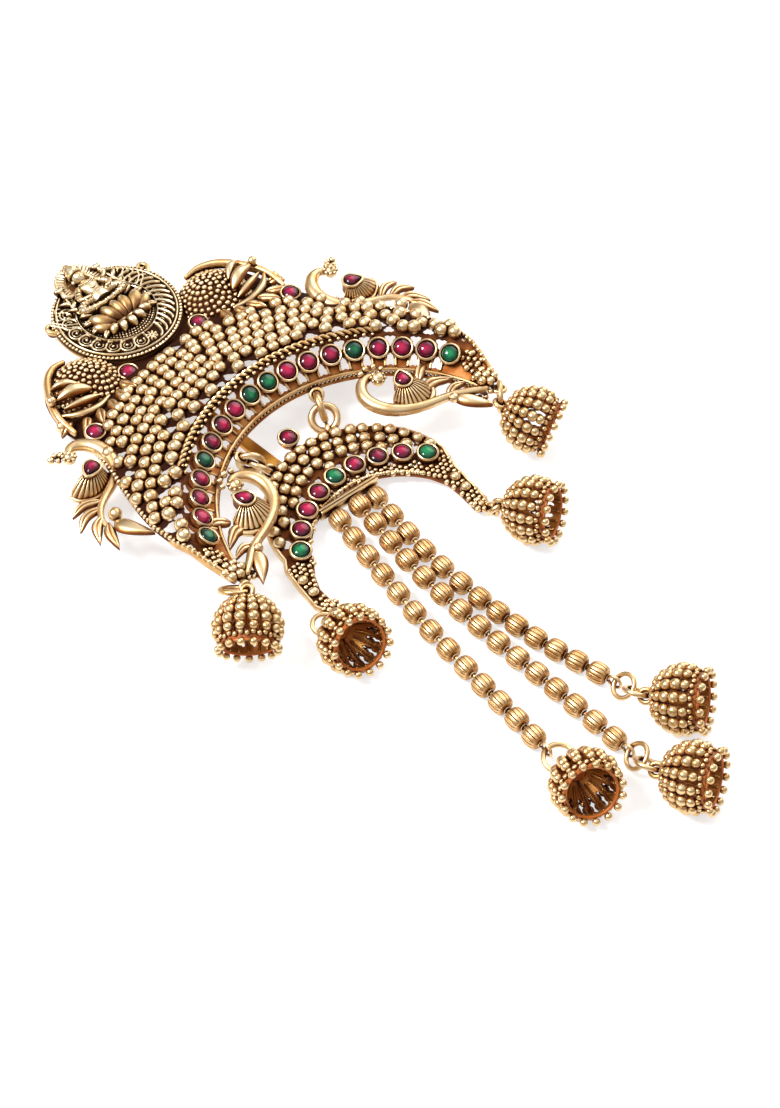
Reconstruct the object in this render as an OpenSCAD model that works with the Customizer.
// Bun pin: a gold-coloured crescent for a hair bun, with a medallion above it, peacocks around it,
// a small crescent linked into its bay, three bead chains below that and seven bell drops.
// It lies on its back on a table, with the medallion's centre over the origin and the chains along -Y.

/* [Medallion] */
// Diameter of the round medallion
medallion_d = 24.4; // [22:0.1:26]
// Thickness of its disc
medallion_t = 1.4; // [1:0.1:2]
// Height of the cast figure above the disc
relief_h = 1.4; // [0.8:0.1:2]

/* [Large crescent] */
// Distance from the medallion's centre to the centre of the stone row's arc
row_back = 71.2; // [69:0.1:73]
// Radius of the stone row's arc
row_r = 33.6; // [33:0.1:34.5]
// Angle from one stone of the row to the next
row_step = 7.5; // [7.2:0.05:7.8]
// Number of stones in the row
row_stones = 18; // [16:2:18]
// Lean of the row towards the bay
row_lean = 30; // [20:1:34]
// Height of the plate's upper face under the row
row_z = 9.7; // [9:0.1:10.5]
// Radius of the inner rim of the bay
rim_r = 29.6; // [28.5:0.1:30]
// Radius of the crest, which carries the rope line
crest_r = 36.8; // [36.5:0.1:37.4]
// Radius at which the plate has come down to the medallion's seat
skirt_r = 62; // [61:0.1:64]
// Thickness of the plate at the crest
plate_t = 1.2; // [1:0.1:1.6]
// Thickness of the flat seat under the medallion
seat_t = 1.6; // [1.2:0.1:2]

/* [Granules] */
// Diameter of one raised granule
granule_d = 2.15; // [1.8:0.05:2.3]
// Distance between granules in a line
granule_pitch = 2.6; // [2.5:0.05:2.9]
// Distance between the lines
line_pitch = 2.24; // [2.15:0.02:2.5]
// Diameter of the gaps pierced between granules
gap_d = 1.1; // [0.6:0.1:1.2]

/* [Stones] */
// Diameter of a round cabochon
stone_d = 2.9; // [2.4:0.1:3.1]
// Outer diameter of its bezel
bezel_d = 3.9; // [3.6:0.1:4.1]
// Height of a bezel above the plate
bezel_h = 1.3; // [1:0.1:1.6]
// Height of the cabochon's dome above its girdle
dome_h = 0.95; // [0.6:0.05:1.2]

/* [Small crescent] */
// Radius of the arc of its nine stones
small_r = 20.3; // [20:0.1:20.6]
// Angle from one of its stones to the next
small_step = 12.7; // [12.4:0.1:13]
// Radius of its outer edge
small_outer_r = 19.0; // [18.6:0.1:19.4]
// Radius of its inner edge
small_inner_r = 16.5; // [16.2:0.1:16.7]
// Thickness of its plate
small_t = 1.5; // [1.3:0.1:1.7]

/* [Chains] */
// Diameter of a chain bead
bead_d = 3.8; // [3.4:0.1:3.9]
// Length of a chain bead along its wire
bead_l = 3.4; // [3:0.1:3.6]
// Diameter of the hole through a bead
bead_bore = 0.9; // [0.8:0.1:1.1]
// Diameter of the wire through the beads
wire_d = 0.56; // [0.4:0.02:0.6]

/* [Bells] */
// Diameter of a bell at its brim
brim_d = 11.6; // [11:0.1:12]
// Length of a bell from brim to crown
bell_l = 8.6; // [8:0.1:9]
// Thickness of a bell's wall
bell_wall = 0.7; // [0.6:0.05:0.9]
// Balls around the brim
brim_balls = 14; // [10:1:16]

/* [Hair pin] */
// Width of the flat pin
pin_w = 2.2; // [1.8:0.1:2.6]
// Thickness of the flat pin
pin_t = 0.8; // [0.6:0.05:0.85]
// Length of the flat pin
pin_l = 44; // [40:1:48]

/* [Hidden] */
gold = "goldenrod";
pale_gold = "palegoldenrod";
antique = "tan";
ruby = "crimson";
emerald = "seagreen";
seat_gap = 0.03;      // clearance of a stone in its socket
socket_floor = 0.35;  // height of a socket's floor above the plate
girdle_h = 0.8;       // height of a cabochon's straight girdle
rod = 0.55;           // radius of the raised rope and rim wires
row_y = -row_back;
rim_z = row_z - (row_r - rim_r) * tan(row_lean);
crest_z = row_z + (crest_r - row_r) * tan(row_lean);
shoulder_r = crest_r + 1.5;
skirt_z = crest_z - 0.45;  // the field's upper face starts a little under the shoulder's edge
slope = (skirt_z - seat_t) / (skirt_r - shoulder_r);

row_half = row_stones / 2;
ROW = [for (i = [0:row_stones - 1]) i];
function row_angle(i) = (i - row_half + 0.5) * row_step;
// Every fourth stone counted from each horn is green, and so are the two in the middle.
function row_green(i) = let (k = i < row_half ? i : row_stones - 1 - i) k % 4 == 0;

// Stones that stand apart from the row, on the right half: name, x, y, height of the plate there
APART = [["near", 8.75, -12.7], ["far", 24.2, -21.3]];
SIDES = [["left", -1], ["right", 1]];

SMALL = [for (i = [0:8]) i];
function small_angle(i) = (i - 4) * small_step;
small_pos = [-1.27, -78.35];      // centre of the small crescent's stone arc
small_tip = 3.4;                  // lift of its upper edge over the hair pin, in degrees
small_outer_c = [0.2, 11.0];      // centres of its edges, from small_pos
small_inner_c = [-1.6, 1.0];
apex_pos = [0.3, 32.2];           // its single upper stone, from small_pos

// Strands: name, beads, points spaced evenly along the route as x, y and height, and the length of wire
// from the first bead to the wire's head behind the bar
STRANDS = [
    ["left", 13, [[-6.55, -64.75, 1.95], [-10.1, -78.6, 1.95], [-13.2, -93.0, 1.95], [-15.4, -107.0, 1.95],
                  [-17.3, -120.0, 1.95]], 3.08],
    ["middle", 15, [[-2.3, -65.4, 2.8], [-5.7, -82.1, 2.7], [-6.9, -98.2, 2.05], [-7.5, -114.0, 1.95],
                    [-8.4, -129.7, 1.95]], 3.3],
    ["right", 13, [[1.6, -65.7, 1.95], [-1.2, -80.0, 1.95], [-2.3, -94.0, 1.95], [-2.0, -106.6, 1.95],
                   [-0.2, -118.9, 1.95]], 3.3],
];

// Bells: name, x and y of the brim's centre, plan direction of the mouth, rise of the mouth in degrees
BELLS = [
    ["horn_left", -39.1, -75.8, [-0.69, -0.725], -21],
    ["horn_right", 32.0, -78.8, [0.415, -0.91], -16],
    ["small_left", -25.8, -88.85, [-0.265, -0.964], 29],
    ["small_right", 17.4, -92.6, [0.395, -0.919], 10],
    ["chain_left", -21.3, -135.9, [-0.49, -0.872], 29],
    ["chain_middle", -6.3, -148.6, [0.395, -0.919], 10],
    ["chain_right", 4.7, -137.1, [0.48, -0.877], 12],
];

// Shapes

function unit(v) = v / norm(v);

// Turns +Z to the direction n and moves to c.
module aimed(c, n) {
    translate(c) rotate([0, acos(unit(n)[2]), atan2(n[1], n[0])]) children();
}

module ring(c, n, r, wire_r) {
    aimed(c, n) rotate_extrude($fn = 48) translate([r, 0]) circle(wire_r, $fn = 20);
}

// A round bar bent to an arc in the plan, with ball ends.
module arc_rod(c, r, wire_r, from, to, z) {
    translate([c[0], c[1], z]) {
        rotate([0, 0, from]) rotate_extrude(angle = to - from, $fn = 96) translate([r, 0]) circle(wire_r, $fn = 20);
        for (a = [from, to]) rotate([0, 0, a]) translate([r, 0, 0]) sphere(wire_r * 1.15, $fn = 20);
    }
}

// A bent round bar through the points p, with a radius for each point and flat ends. Its cross section is
// turned so that one corner always points as nearly as it can along ref.
module tube(p, r, sides, ref) {
    n = len(p);
    function way(i) = unit(unit(p[min(i + 1, n - 1)] - p[min(i, n - 2)]) + unit(p[max(i, 1)] - p[max(i - 1, 0)]));
    points = [for (i = [0:n - 1]) let (t = way(i), u = unit(ref - (ref * t) * t), v = cross(t, u), rr = is_list(r) ? r[i] : r)
        for (j = [0:sides - 1]) p[i] + rr * (cos(j * 360 / sides) * u + sin(j * 360 / sides) * v)];
    polyhedron(points, concat(
        [[for (j = [0:sides - 1]) j], [for (j = [0:sides - 1]) n * sides - 1 - j]],
        [for (i = [0:n - 2], j = [0:sides - 1]) let (a = i * sides + j, b = i * sides + (j + 1) % sides)
            each [[a, b + sides, b], [a, a + sides, b + sides]]]
    ));
}

// Smooth curve through the points, with n steps from each to the next.
function curve(p, n) = concat(
    [for (i = [0:len(p) - 2], k = [0:n - 1]) let (
        t = k / n, a = p[max(i - 1, 0)], b = p[i], c = p[i + 1], d = p[min(i + 2, len(p) - 1)]
    ) 0.5 * (2 * b + (c - a) * t + (2 * a - 5 * b + 4 * c - d) * t * t + (3 * b - a - 3 * c + d) * t * t * t)],
    [p[len(p) - 1]]
);

// A leaf with two round sides, pointing along +X.
module leaf(l, w, h) {
    r = (l * l / 4 + w * w / 4) / w;
    linear_extrude(h) translate([l / 2, 0]) intersection() {
        translate([0, r - w / 2]) circle(r, $fn = 72);
        translate([0, w / 2 - r]) circle(r, $fn = 72);
    }
}

module teardrop(r, h) {
    linear_extrude(h) {
        circle(r, $fn = 40);
        rotate(45) square(r);
    }
}

// Places a child on the plate of the row at angle t, with +Z square to the leaning face.
module on_row(t) {
    translate([0, row_y, 0]) rotate([0, 0, -t]) translate([0, row_r, row_z]) rotate([row_lean, 0, 0]) children();
}

module bezel(depth) {
    difference() {
        translate([0, 0, -depth]) cylinder(d = bezel_d, h = depth + bezel_h, $fn = 40);
        translate([0, 0, socket_floor]) cylinder(d = stone_d + 0.1, h = bezel_h, $fn = 40);
    }
}

module cabochon(r) {
    ball = (r * r + dome_h * dome_h) / (2 * dome_h);
    translate([0, 0, socket_floor + seat_gap]) intersection() {
        cylinder(r = r, h = girdle_h + dome_h, $fn = 48);
        translate([0, 0, girdle_h + dome_h - ball]) sphere(ball, $fn = 72);
    }
}

module teardrop_bezel(depth) {
    difference() {
        translate([0, 0, -depth]) teardrop(1.6, depth + bezel_h);
        translate([0, 0, socket_floor]) teardrop(1.25, bezel_h);
    }
}

module teardrop_stone() {
    translate([0, 0, socket_floor + seat_gap]) intersection() {
        teardrop(1.2, 2);
        translate([0.3, 0.3, -1.2]) sphere(2.9, $fn = 72);
    }
}

// Large crescent

// Half width of the field at a height y of the plan, and the field's upper edge at a half width x.
EDGE = [[-65.6, 32.4], [-60, 34.0], [-54, 34.9], [-48, 34.6], [-42, 33.2], [-36, 31.2], [-30, 29.0],
        [-23, 27.0], [-17.5, 26.3], [-11, 25.3], [-5.5, 22.8], [-2.2, 17.5]];
TOP = [[0, -13.6], [8.5, -15.6], [12, -17.6], [16, -18.2], [20, -20.2], [23, -22.6], [24.5, -25.0], [27, -27]];

module outline() {
    polygon(concat(
        [[0, 0], [11, -4]],
        [for (i = [len(EDGE) - 1:-1:0]) [EDGE[i][1], EDGE[i][0]]],
        [[28, -65.6], [0, -65.6], [-28, -65.6]],
        [for (e = EDGE) [-e[1], e[0]]],
        [[-11, -4]]
    ));
}

// Leaning ring round the bay that carries the stone row, with a small gap pierced on each side of every
// pair of neighbours.
module stone_ring() {
    difference() {
        intersection() {
            translate([0, row_y, 0]) rotate_extrude($fn = 180) polygon([
                [rim_r, rim_z], [crest_r, crest_z], [shoulder_r, crest_z - 0.2], [shoulder_r, crest_z - 0.2 - plate_t],
                [crest_r, crest_z - 1.25 * plate_t], [rim_r, rim_z - 1.25 * plate_t]
            ]);
            linear_extrude(20) outline();
        }
        for (i = [0:row_stones - 2]) let (t = (row_angle(i) + row_angle(i + 1)) / 2)
            for (d = [-2.15, 1.75]) translate([0, row_y, 0]) rotate([0, 0, -t]) translate([0, row_r + d, 0])
                cylinder(d = 1.2, h = 20, $fn = 24);
    }
}

// The field outside the crest is made of flat sectors, each with its own lines of granules.
sector_step = 15;
SECTORS = [-5.5:1:5.5];
fall = atan(slope);
line_step = line_pitch * cos(fall);
field_lines = [0:10];
function line_r(k) = shoulder_r + 1.45 + k * line_step;
function line_n(k) = floor(2 * line_r(k) * tan(sector_step / 2) / granule_pitch);
function line_gap(k) = 2 * line_r(k) * tan(sector_step / 2) / line_n(k);
// Place along a line of its j-th granule, in the sector's own width
function granule_u(k, j) = (j - (line_n(k) - 1) / 2 + (k % 2 - 0.5) / 2) * line_gap(k);
function in_plan(s, u, r) = let (a = s * sector_step) [r * sin(a) + u * cos(a), row_y + r * cos(a) - u * sin(a)];

function plan_r(p) = norm([p[0], p[1] - row_y]);
function plate_z(p) = let (r = plan_r(p))
    r < crest_r ? row_z + (r - row_r) * tan(row_lean) : max(seat_t, skirt_z - (r - shoulder_r) * slope);
function in_field(p, margin) =
    abs(p[0]) < lookup(p[1], EDGE) - margin && p[1] < lookup(abs(p[0]), TOP) && p[1] > -66.5;

// Places a child with its origin on the upper face of sector s, at u across and plan radius r, +Y outwards.
module on_sector(s, u, r) {
    translate([0, row_y, 0]) rotate([0, 0, -s * sector_step])
        translate([u, r, skirt_z - (r - shoulder_r) * slope]) rotate([-fall, 0, 0]) children();
}

module sector(s) {
    long = (skirt_r + 1 - shoulder_r) / cos(fall);
    wide = (skirt_r + 2) * tan(sector_step / 2);
    difference() {
        intersection() {
            on_sector(s, 0, shoulder_r) translate([-wide, -0.6, -plate_t]) cube([2 * wide, long, plate_t]);
            translate([0, row_y, 0]) rotate([0, 0, 90 - s * sector_step]) linear_extrude(20) polygon([
                [-1, 0], [80, 81 * tan(sector_step / 2)], [80, -81 * tan(sector_step / 2)]
            ]);
            linear_extrude(20) outline();
        }
        for (k = field_lines, j = [0:line_n(k) - 1])
            let (u = granule_u(k, j) + line_gap(k) / 2, r = line_r(k) + line_step * 0.34)
                if ((j + 2 * k + 12) % 3 == 0 && in_field(in_plan(s, u, r), 1.6) && abs(u) < r * tan(sector_step / 2) - 0.7)
                    on_sector(s, u, r) translate([0, 0, -3]) cylinder(d = gap_d, h = 6, $fn = 24);
    }
}

module granules(s) {
    for (k = field_lines, j = [0:line_n(k) - 1]) let (u = granule_u(k, j), r = line_r(k))
        if (in_field(in_plan(s, u, r), 0.9)) on_sector(s, u, r) translate([0, 0, 0.25])
            sphere(d = granule_d, $fn = 24);
}

// Flat seat under the medallion and the two side pieces.
module seat() {
    intersection() {
        linear_extrude(seat_t) outline();
        translate([-40, -13.5, 0]) cube([80, 30, 5]);
    }
}

module field() {
    difference() {
        union() {
            seat();
            for (s = SECTORS) sector(s);
        }
        translate([0, 0, seat_t]) cylinder(d = medallion_d + 0.2, h = 10, $fn = 96);
    }
    for (s = SECTORS) granules(s);
}

// A cluster of small balls with one in the middle.
module cluster(r, ball_r) {
    sphere(ball_r * 1.1, $fn = 20);
    for (a = [0:60:300]) rotate([0, 0, a]) translate([r, 0, 0]) sphere(ball_r, $fn = 20);
}

// Peacock on the outer edge, for the right half: neck loop, head with a crest, ribbed wing, tail and leaves.
module outer_peacock() {
    arc_rod([31.6, -26.4], 3.1, 1.0, 60, 215, 7.6);
    translate([33.4, -23.2, 8.0]) sphere(1.5, $fn = 28);
    for (p = [[34.4, -21.4], [33.1, -21.4], [35.1, -22.3]]) translate([p[0], p[1], 8.2]) sphere(0.75, $fn = 20);
    intersection() {
        translate([32.0, -29.4, 6.4]) cylinder(r1 = 5.2, r2 = 3.4, h = 1.9, $fn = 64);
        translate([24, -40, 6]) cube([20, 11.6, 4]);
    }
    for (a = [200:14:340]) translate([32.0, -29.4, 7.4]) rotate([0, 0, a]) translate([3.2, -0.28, -0.9])
        cube([1.9, 0.56, 1.25]);
    arc_rod([40.2, -31.0], 8.6, 0.9, 190, 245, 7.4);
    for (l = [[35.6, -37.6, -10, 5], [36.6, -39.8, -35, 5.4], [36.0, -41.4, -62, 5.4], [34.4, -41.6, -95, 7.4]])
        translate([l[0], l[1], 6.6]) rotate([0, 0, l[2]]) leaf(l[3], 2.2, 1.4);
    translate([35.0, -43.2, 7.4]) sphere(1.3, $fn = 24);
}

// Peacock in the bay, for the right half: its neck loop runs on as a stem to the horn.
module inner_peacock() {
    neck = curve([[18.2, -50.7, 8.2], [16.4, -50.3, 7.9], [14.2, -51.2, 7.5], [12.8, -53.6, 7.5], [13.1, -56.2, 7.5],
                  [14.6, -58.7, 7.5], [16.8, -61.0, 7.4], [19.6, -63.0, 7.4], [22.9, -64.3, 7.5], [26.2, -64.8, 7.7],
                  [29.4, -65.0, 8.0]], 3);
    tube(neck, [for (i = [0:len(neck) - 1]) 1.08 - 0.38 * i / (len(neck) - 1)], 8, [0.02, 0.03, 1]);
    translate([17.4, -50.6, 8.6]) sphere(1.5, $fn = 28);
    for (p = [[16.0, -49.4], [17.4, -48.9], [18.6, -49.6]]) translate([p[0], p[1], 8.7]) sphere(0.75, $fn = 20);
    translate([19.3, -55.4, 6.9]) difference() {
        cylinder(r1 = 4.6, r2 = 3.1, h = 2.9, $fn = 64);
        translate([-6, 0.9, -1]) cube([12, 8, 6]);
    }
    for (a = [195:15:345]) translate([19.3, -55.4, 8.0]) rotate([0, 0, a]) translate([2.6, -0.28, -1.0])
        cube([1.9, 0.56, 1.4]);
    translate([22.0, -50.6, 6.6]) rotate([0, 0, 32]) cube([5.6, 1.6, 1.4]);
    translate([22.6, -57.6, 6.7]) rotate([0, 0, -20]) leaf(6.6, 2.4, 1.4);
    translate([25.6, -63.0, 6.6]) rotate([0, 0, -68]) leaf(6.2, 2.8, 1.4);
}

// Piece beside the medallion, for the right half: granulated body, petal feathers and leaf sprays.
module side_piece() {
    translate([17.0, -9.6, 0]) {
        intersection() {
            translate([0, 0, -1.6]) sphere(7.4, $fn = 72);
            translate([-8, -8, 0.6]) cube([16, 16, 8]);
        }
        for (ring_n = [[0.1, 1, 5.7], [2.4, 6, 5.3], [4.6, 12, 4.1]]) for (i = [0:ring_n[1] - 1])
            rotate([0, 0, i * 360 / ring_n[1] + 15]) translate([ring_n[0], 0, ring_n[2]]) sphere(0.85, $fn = 20);
    }
    for (f = [[18.4, -13.6, 22, 9.2], [18.2, -15.2, 6, 8.6], [18.6, -12.2, 40, 8.6]])
        translate([f[0], f[1], 2.4]) rotate([0, 0, f[2]]) leaf(f[3], 2.3, 2.6);
    for (f = [[14.2, -15.0, -80, 4.6], [17.0, -16.0, -66, 4.8], [19.8, -16.2, -52, 5.0], [22.4, -15.6, -40, 5.2]])
        translate([f[0], f[1], 1.8]) rotate([0, 0, f[2]]) leaf(f[3], 1.9, 2.6);
    translate([26.4, -14.0, 3.0]) sphere(1.2, $fn = 24);
}

module half_ornament() {
    outer_peacock();
    inner_peacock();
    side_piece();
    translate([31.2, -64.0, 9.3]) cluster(1.4, 0.78);
}

module large_crescent() {
    color(gold) difference() {
        union() {
            stone_ring();
            field();
            for (i = ROW) on_row(row_angle(i)) bezel(1.2);
            arc_rod([0, row_y], crest_r + 0.4, rod, 36, 144, crest_z + 0.1);
            arc_rod([0, row_y], rim_r + 0.2, rod, 12, 168, rim_z);
            for (s = SIDES) on_side(s[1]) {
                half_ornament();
                for (a = APART) at_apart(a) bezel(1.4);
                at_outer() teardrop_bezel(1.0);
                at_inner() teardrop_bezel(1.0);
            }
            for (l = LARGE_EYES) eye(l[0], l[1]);
            translate([pin_x, pin_root - 3, pin_z + pin_t]) cylinder(d = pin_w, h = 3.0, $fn = 32);
        }
        for (s = SIDES) on_side(s[1]) {
            for (a = APART) at_apart(a) translate([0, 0, socket_floor]) cylinder(d = stone_d + 0.1, h = 4, $fn = 40);
            at_outer() translate([0, 0, socket_floor]) teardrop(1.25, 4);
            at_inner() translate([0, 0, socket_floor]) teardrop(1.25, 4);
        }
    }
}

// Seats of the stones that stand apart from the row, for the right half
module at_apart(a) translate([a[1], a[2], plate_z([a[1], a[2]])]) children();
module at_outer() translate([31.9, -29.4, 7.4]) rotate([0, 0, 250]) children();
module at_inner() translate([19.3, -54.9, 9.3]) rotate([0, 0, 330]) children();

// Mirrors the right half's pieces to the left.
module on_side(side) {
    if (side > 0) children();
    else mirror([1, 0, 0]) children();
}

// Medallion: a disc with raised rings, a band of scrolls, a lotus and a seated figure.

module medallion() {
    r = medallion_d / 2;
    color(antique) translate([0, 0, seat_t]) {
        cylinder(d = medallion_d, h = medallion_t, $fn = 96);
        for (ring_r = [r - 0.5, r - 1.5, 8.0]) ring([0, 0, medallion_t], [0, 0, 1], ring_r, 0.38);
        for (a = [150:15:390]) rotate([0, 0, a]) translate([9.35, 0, medallion_t])
            arc_rod([0, 0], 0.75, 0.28, 40, 320, 0);
        translate([0, 0, medallion_t]) figure();
        for (s = [-1, 1]) translate([s * 11.6, 5.6, 0]) cylinder(r = 1.6, h = medallion_t + 0.5, $fn = 32);
    }
}

module petal(l, r) {
    rotate([0, 90, 0]) cylinder(r1 = r, r2 = r * 0.55, h = l, $fn = 24);
    translate([l, 0, 0]) sphere(r * 0.58, $fn = 20);
    sphere(r, $fn = 24);
}

module figure() {
    // headdress plate and halo, rising over the disc's upper rim
    translate([0, 9.6, -medallion_t]) intersection() {
        cylinder(r = 5.6, h = medallion_t + 0.4, $fn = 64);
        translate([-6, -3.4, 0]) cube([12, 9.2, 5]);
    }
    // lotus seat
    for (a = [200:28:340]) rotate([0, 0, a]) translate([1.6, 0, 0.1]) petal(3.6, 0.85);
    for (x = [-3.6, -1.25, 1.25, 3.6]) translate([x, 0.2, 0.2]) rotate([0, 0, 90]) petal(2.2, 1.1);
    // folded legs, body, arms and head
    translate([-3.2, 4.0, 0.4]) rotate([0, 90, 0]) cylinder(r = 1.25, h = 6.4, $fn = 28);
    for (s = [-1, 1]) translate([s * 3.2, 4.0, 0.4]) sphere(1.3, $fn = 28);
    translate([0, 4.2, 0.5]) rotate([-90, 0, 0]) cylinder(r1 = 1.7, r2 = 1.3, h = 4.4, $fn = 28);
    for (s = [-1, 1]) translate([s * 1.6, 7.8, 0.5]) rotate([90, 0, s * 38]) cylinder(r = 0.6, h = 4.2, $fn = 20);
    translate([0, 10.2, 0.9]) sphere(relief_h, $fn = 32);
    translate([0, 11.0, 0.9]) rotate([-90, 0, 0]) cylinder(r1 = 1.2, r2 = 0.4, h = 3.2, $fn = 24);
}

// Small crescent

module small_frame() {
    translate([small_pos[0], small_pos[1], 0.2]) rotate([small_tip, 0, 0]) children();
}

// Granules in rows along the outer edge, and the gaps pierced between them
function small_row(k, i) = let (r = small_outer_r - 0.9 - 2.1 * k, a = (i + (k % 2) / 2) * 2.5 / r * 180 / PI)
    small_outer_c + r * [sin(a), cos(a)];
SMALL_GRANULES = [for (k = [0:4], i = [-14:14]) let (p = small_row(k, i))
    if (abs(i) * 2.5 < 1.75 * (small_outer_r - 2.1 * k) && norm(p) > small_r + 2.8 && p[1] > 12) p];
SMALL_GAPS = [for (k = [0:3], i = [-12:12]) let (p = (small_row(k, i) + small_row(k, i + 1) + small_row(k + 1, i)) / 3)
    if ((i + 24 + k) % 2 == 0 && norm(p) > small_r + 2.9 && p[1] > 14) p];

module small_outline() {
    difference() {
        translate(small_outer_c) circle(small_outer_r, $fn = 120);
        translate(small_inner_c) circle(small_inner_r, $fn = 120);
        translate([-40, -40]) square([80, 49]);
    }
    polygon([[12.7, 9.3], [13.9, 6.1], [13.8, 2.6], [13.2, -1.6], [14.6, -2.6], [15.9, -1.6], [16.5, 1.0], [16.9, 4],
             [17.8, 9], [18.6, 12], [15, 12]]);
    polygon([[-16.0, 9.5], [-17.3, 7.7], [-18.6, 5.2], [-18.9, 1.4], [-18.9, -0.6], [-20.2, -0.6], [-21.7, 3.0], [-20.9, 7.8],
             [-19.9, 13.5], [-18.2, 17.0], [-15, 12]]);
    translate([apex_pos[0] - 1, 29]) square([2, 2.5]);
}

module small_crescent() {
    color(gold) difference() {
        union() {
            small_frame() {
                difference() {
                    linear_extrude(small_t) small_outline();
                    for (p = SMALL_GAPS) translate([p[0], p[1], -1]) cylinder(d = 0.9, h = 5, $fn = 24);
                    for (i = [0:7]) rotate([0, 0, -(small_angle(i) + small_step / 2)]) for (d = [-1.75, 1.9])
                        translate([0, small_r + d, -1]) cylinder(d = 1.1, h = 5, $fn = 24);
                }
                for (p = SMALL_GRANULES) translate([p[0], p[1], small_t + 0.2]) sphere(d = 2.15, $fn = 24);
                for (i = SMALL) rotate([0, 0, -small_angle(i)]) translate([0, small_r, small_t]) bezel(0.9);
                translate([apex_pos[0], apex_pos[1], small_t]) bezel(1.4);
                for (t = [[-19.6, 1.2], [14.6, -1.3]]) translate([t[0], t[1], small_t]) cluster(1.0, 0.55);
                chain_bar();
            }
            for (l = SMALL_EYES) eye(l[0], l[1]);
        }
        for (c = STRANDS) aimed(bead_place(c, 0), -bead_way(c, 0)) cylinder(r = 0.5, h = c[3], $fn = 24);
    }
}

// Bar across the bay that the three strands hang from.
module chain_bar() {
    translate([-7.4, 16.05, 0]) rotate([0, 0, -5.9]) cube([12.7, 0.7, 2.6]);
    translate([-8.3, 15.9, 0]) cube([1.5, 1.6, small_t - 0.1]);
    translate([4.8, 14.6, 0]) cube([1.6, 2.0, small_t - 0.1]);
}

// Chains

// Place on a smooth route through the points, at s from 0 to 1.
function route(pts, s) = let (
    n = len(pts) - 1, i = min(floor(s * n), n - 1), t = s * n - i, b = pts[i], c = pts[i + 1],
    a = i > 0 ? pts[i - 1] : 2 * b - c, d = i < n - 1 ? pts[i + 2] : 2 * c - b
) 0.5 * (2 * b + (c - a) * t + (2 * a - 5 * b + 4 * c - d) * t * t + (3 * b - a - 3 * c + d) * t * t * t);
function bead_place(c, i) = route(c[2], i / (c[1] - 1));
function bead_way(c, i) = unit(bead_place(c, min(i + 1, c[1] - 1)) - bead_place(c, max(i - 1, 0)));

// A bead is a short barrel with flat ends, bored for its wire.
module bead() {
    side = [[bead_bore / 2, bead_l / 2], [0.31 * bead_d, bead_l / 2], [0.43 * bead_d, bead_l * 0.33],
            [bead_d / 2, bead_l * 0.12]];
    rotate_extrude($fn = 48) polygon(concat([for (p = side) [p[0], -p[1]]], [for (i = [3:-1:0]) side[i]]));
}

module strand_beads(c) {
    color(gold) for (i = [0:c[1] - 1]) aimed(bead_place(c, i), bead_way(c, i)) bead();
}

// The wire starts with a head behind the bar, bends only between beads and ends in an upright eye.
loop_r = 1.2;
function loop_way(c) = bead_way(c, c[1] - 1);
function loop_start(c) = bead_place(c, c[1] - 1) + loop_way(c) * (bead_l / 2 + 0.35);
function loop_centre(c) = loop_start(c) + loop_way(c) * loop_r;

module strand_wire(c) {
    w0 = bead_way(c, 0);
    w = loop_way(c);
    up = unit([0, 0, 1] - w[2] * w);
    r = wire_d / 2;
    head = bead_place(c, 0) - w0 * c[3];
    p = concat(
        [head - w0 * 0.25, head, head + w0 * 0.02],
        [for (i = [0:c[1] - 1], s = [-1, 1]) bead_place(c, i) + s * bead_way(c, i) * 1.6],
        [for (a = [180:-32.5:-145]) loop_centre(c) + loop_r * (cos(a) * w + sin(a) * up)]
    );
    color(gold) tube(p, [for (i = [0:len(p) - 1]) i < 2 ? 0.6 : r], 6, [1, 0, 0]);
}

// Bells

// Outer profile of a bell: radius and distance from the brim towards the crown
BELL_SIDE = [[brim_d / 2, 0], [brim_d / 2, 1.0], [5.3, 2.6], [4.6, 4.4], [3.6, 6.2], [2.4, 7.6], [1.3, bell_l]];
ball_r = 0.6;

// Height of the brim's centre at which a bell whose mouth rises by the angle just touches the table.
function bell_height(rise) = max(concat(
    [(brim_d / 2 + 0.2 + ball_r) * cos(rise)],
    [for (p = BELL_SIDE) p[0] * cos(rise) + p[1] * sin(rise)]
)) + 0.02;

function bell_way(b) = let (v = unit(b[3])) [v[0] * cos(b[4]), v[1] * cos(b[4]), sin(b[4])];
function bell_place(b) = [b[1], b[2], bell_height(b[4])];
function bell_eye(b) = bell_place(b) - bell_way(b) * (bell_l + 1.05);

module bell(b) {
    n = len(BELL_SIDE) - 1;
    // from the brim's centre with the crown along +Z
    color(gold) aimed(bell_place(b), -bell_way(b)) {
        difference() {
            rotate_extrude($fn = 72) polygon(concat(
                BELL_SIDE,
                [[0, bell_l], [0, bell_l - bell_wall]],
                [for (i = [n:-1:0]) [max(0.4, BELL_SIDE[i][0] - bell_wall), max(0, BELL_SIDE[i][1] - bell_wall)]]
            ));
            for (a = [0:45:315]) rotate([0, 0, a + 10]) translate([2.5, -0.5, 2.2]) cube([4, 1.0, 1.6]);
        }
        for (i = [0:brim_balls - 1]) rotate([0, 0, i * 360 / brim_balls]) translate([brim_d / 2, 0, 0])
            sphere(ball_r, $fn = 20);
    }
    color(gold) let (l = last_link(b[0]), t = link_way(l, bell_eye(b)), w = bell_way(b))
        ring(bell_eye(b), t - (t * w) * w, 1.1, 0.33);
}

// Links and rings

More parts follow.
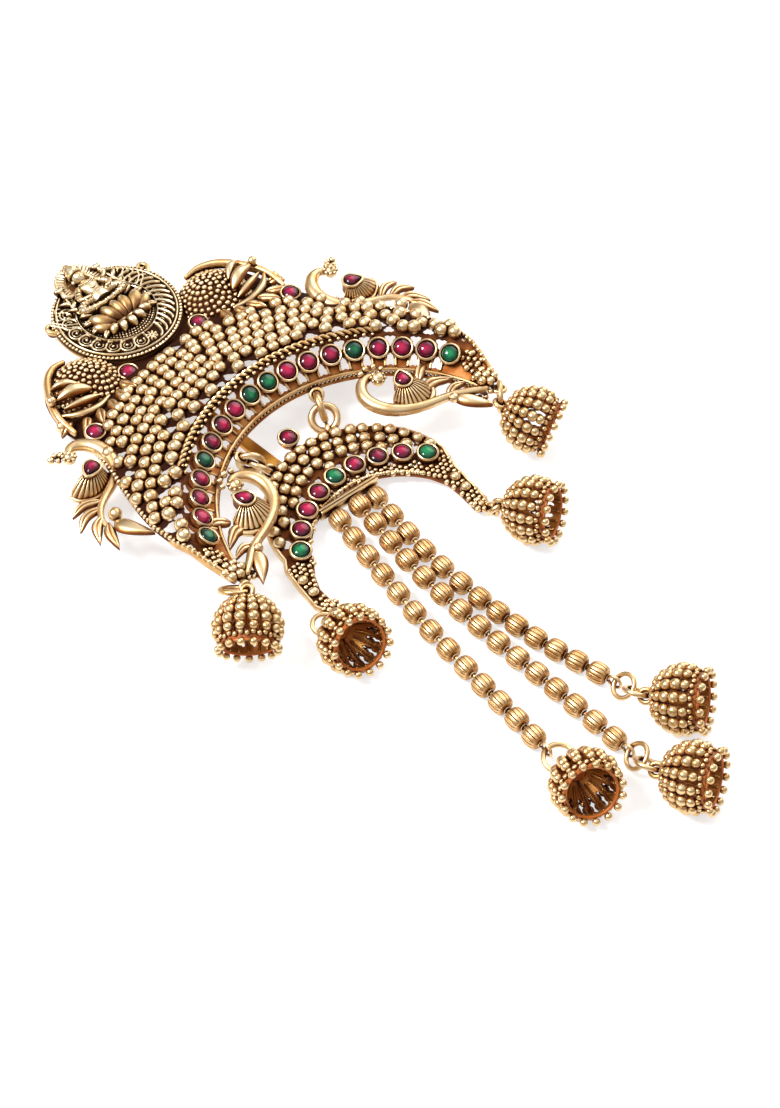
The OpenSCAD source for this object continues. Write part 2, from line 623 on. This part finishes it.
// A link is a round ring that passes through the points a and b, as [a, b, radius, side, wire radius]. Its
// middle lies to the side of the line from a to b.
function across(v, d) = unit(v - (v * d) * d);
function link_side(l) = across(l[3], unit(l[1] - l[0]));
function link_centre(l) = (l[0] + l[1]) / 2 + sqrt(max(0, l[2] * l[2] - norm(l[1] - l[0]) ^ 2 / 4)) * link_side(l);
function link_axis(l) = cross(unit(l[1] - l[0]), link_side(l));
// Direction of the link's wire at one of its points
function link_way(l, p) = unit(cross(link_axis(l), p - link_centre(l)));
module link(l) ring(link_centre(l), link_axis(l), l[2], l[4]);

// An eye round the link's first point, with a short post to a point inside the part that carries it
module eye(l, foot) {
    t = link_way(l, l[0]);
    p = l[0] + 1.05 * across(foot - l[0], t);
    ring(l[0], t, 1.05, 0.33);
    aimed(p, foot - p) cylinder(r = 0.42, h = norm(foot - p), $fn = 20);
}

function straight(a, b, side, wire_r) = [a, b, norm(b - a) / 2, side, wire_r];
// Two links in a row from a to b that reach o past the middle, turned to the sides s1 and s2
function pair(a, b, s1, s2, wire_r, o) = let (d = unit(b - a), m = (a + b) / 2)
    [straight(a, m + o * d, s1, wire_r), straight(m - o * d, b, s2, wire_r)];

view = [-0.457, -0.444, 0.771];
function bell_named(n) = [for (b = BELLS) if (b[0] == n) b][0];
function strand_named(n) = [for (c = STRANDS) if (c[0] == n) c][0];

CRESCENT_LEFT = pair([-11.2, -45.0, 6.5], [-7.7, -48.3, 2.7], [0.697, -0.717, 0], view, 0.5, 1.0);
CRESCENT_RIGHT = pair([8.6, -43.9, 6.6], [6.4, -49.0, 2.8], view, [0.697, -0.717, 0], 0.52, 1.2);
HORN_LEFT = [[-31.75, -67.55, 7.95], bell_eye(bell_named("horn_left")), 2.4, [-0.697, 0.717, 0], 0.36];
HORN_RIGHT = straight([31.6, -66.9, 7.6], bell_eye(bell_named("horn_right")), view, 0.42);
SMALL_LEFT = [[-22.5, -78.7, 1.75], bell_eye(bell_named("small_left")), 2.05, [-1, 0.3, 0], 0.36];
SMALL_RIGHT = straight([13.9, -82.1, 1.9], bell_eye(bell_named("small_right")), [1, 0, 0], 0.42);
CHAIN_LEFT = [straight(loop_centre(strand_named("left")), bell_eye(bell_named("chain_left")), [1, 0, 0], 0.42)];
CHAIN_MIDDLE = pair(loop_centre(strand_named("middle")), bell_eye(bell_named("chain_middle")), [1, 0, 0.8], [1, 0, -0.8], 0.36, 0.6);
CHAIN_RIGHT = pair(loop_centre(strand_named("right")), bell_eye(bell_named("chain_right")), [1, 0, 0.8], [1, 0, -0.8], 0.36, 0.6);

LARGE_EYES = [[CRESCENT_LEFT[0], [-11.9, -43.4, 6.8]], [CRESCENT_RIGHT[0], [9.0, -42.6, 6.8]],
              [HORN_LEFT, [-31.2, -65.0, 8.0]], [HORN_RIGHT, [31.2, -65.0, 8.0]]];
SMALL_EYES = [[reversed(CRESCENT_LEFT[1]), [-7.5, -50.3, 2.5]], [reversed(CRESCENT_RIGHT[1]), [6.3, -50.7, 2.5]],
              [SMALL_LEFT, [-20.8, -78.2, 1.0]], [SMALL_RIGHT, [13.3, -80.2, 1.0]]];
function reversed(l) = [l[1], l[0], l[2], l[3], l[4]];
function last_link(n) =
    n == "horn_left" ? HORN_LEFT :
    n == "horn_right" ? HORN_RIGHT :
    n == "small_left" ? SMALL_LEFT :
    n == "small_right" ? SMALL_RIGHT :
    n == "chain_left" ? CHAIN_LEFT[0] :
    n == "chain_middle" ? CHAIN_MIDDLE[1] : CHAIN_RIGHT[1];

module links_left() color(gold) for (l = CRESCENT_LEFT) link(l);
module links_right() color(gold) for (l = CRESCENT_RIGHT) link(l);
module chain_rings() color(gold) for (l = concat(CHAIN_LEFT, CHAIN_MIDDLE, CHAIN_RIGHT)) link(l);
module horn_rings() color(gold) for (l = [HORN_LEFT, HORN_RIGHT, SMALL_LEFT, SMALL_RIGHT]) link(l);

// Hair pin: a flat strip soldered to a post under the plate, which runs under both crescents.
pin_x = -4.6;
pin_root = -15.5;
pin_z = 0.1;
module hair_pin() {
    color("darkorange") translate([pin_x, pin_root, pin_z]) linear_extrude(pin_t) {
        translate([-pin_w / 2, -pin_l]) square([pin_w, pin_l]);
        translate([0, -pin_l]) circle(d = pin_w, $fn = 40);
    }
}

large_crescent();
medallion();
small_crescent();
hair_pin();
for (i = ROW) color(row_green(i) ? emerald : ruby) on_row(row_angle(i)) cabochon(stone_d / 2);
for (s = SIDES, a = APART) color(ruby) on_side(s[1]) at_apart(a) cabochon(stone_d / 2);
for (s = SIDES) color(ruby) on_side(s[1]) at_outer() teardrop_stone();
for (s = SIDES) color(ruby) on_side(s[1]) at_inner() teardrop_stone();
for (i = SMALL) color(i % 4 == 0 ? emerald : ruby) small_frame() rotate([0, 0, -small_angle(i)])
        translate([0, small_r, small_t]) cabochon(stone_d / 2);
color(ruby) small_frame() translate([apex_pos[0], apex_pos[1], small_t]) cabochon(stone_d / 2);  // apex_stone
for (c = STRANDS) strand_beads(c);
for (c = STRANDS) strand_wire(c);
for (b = BELLS) bell(b);
links_left();
links_right();
chain_rings();
horn_rings();
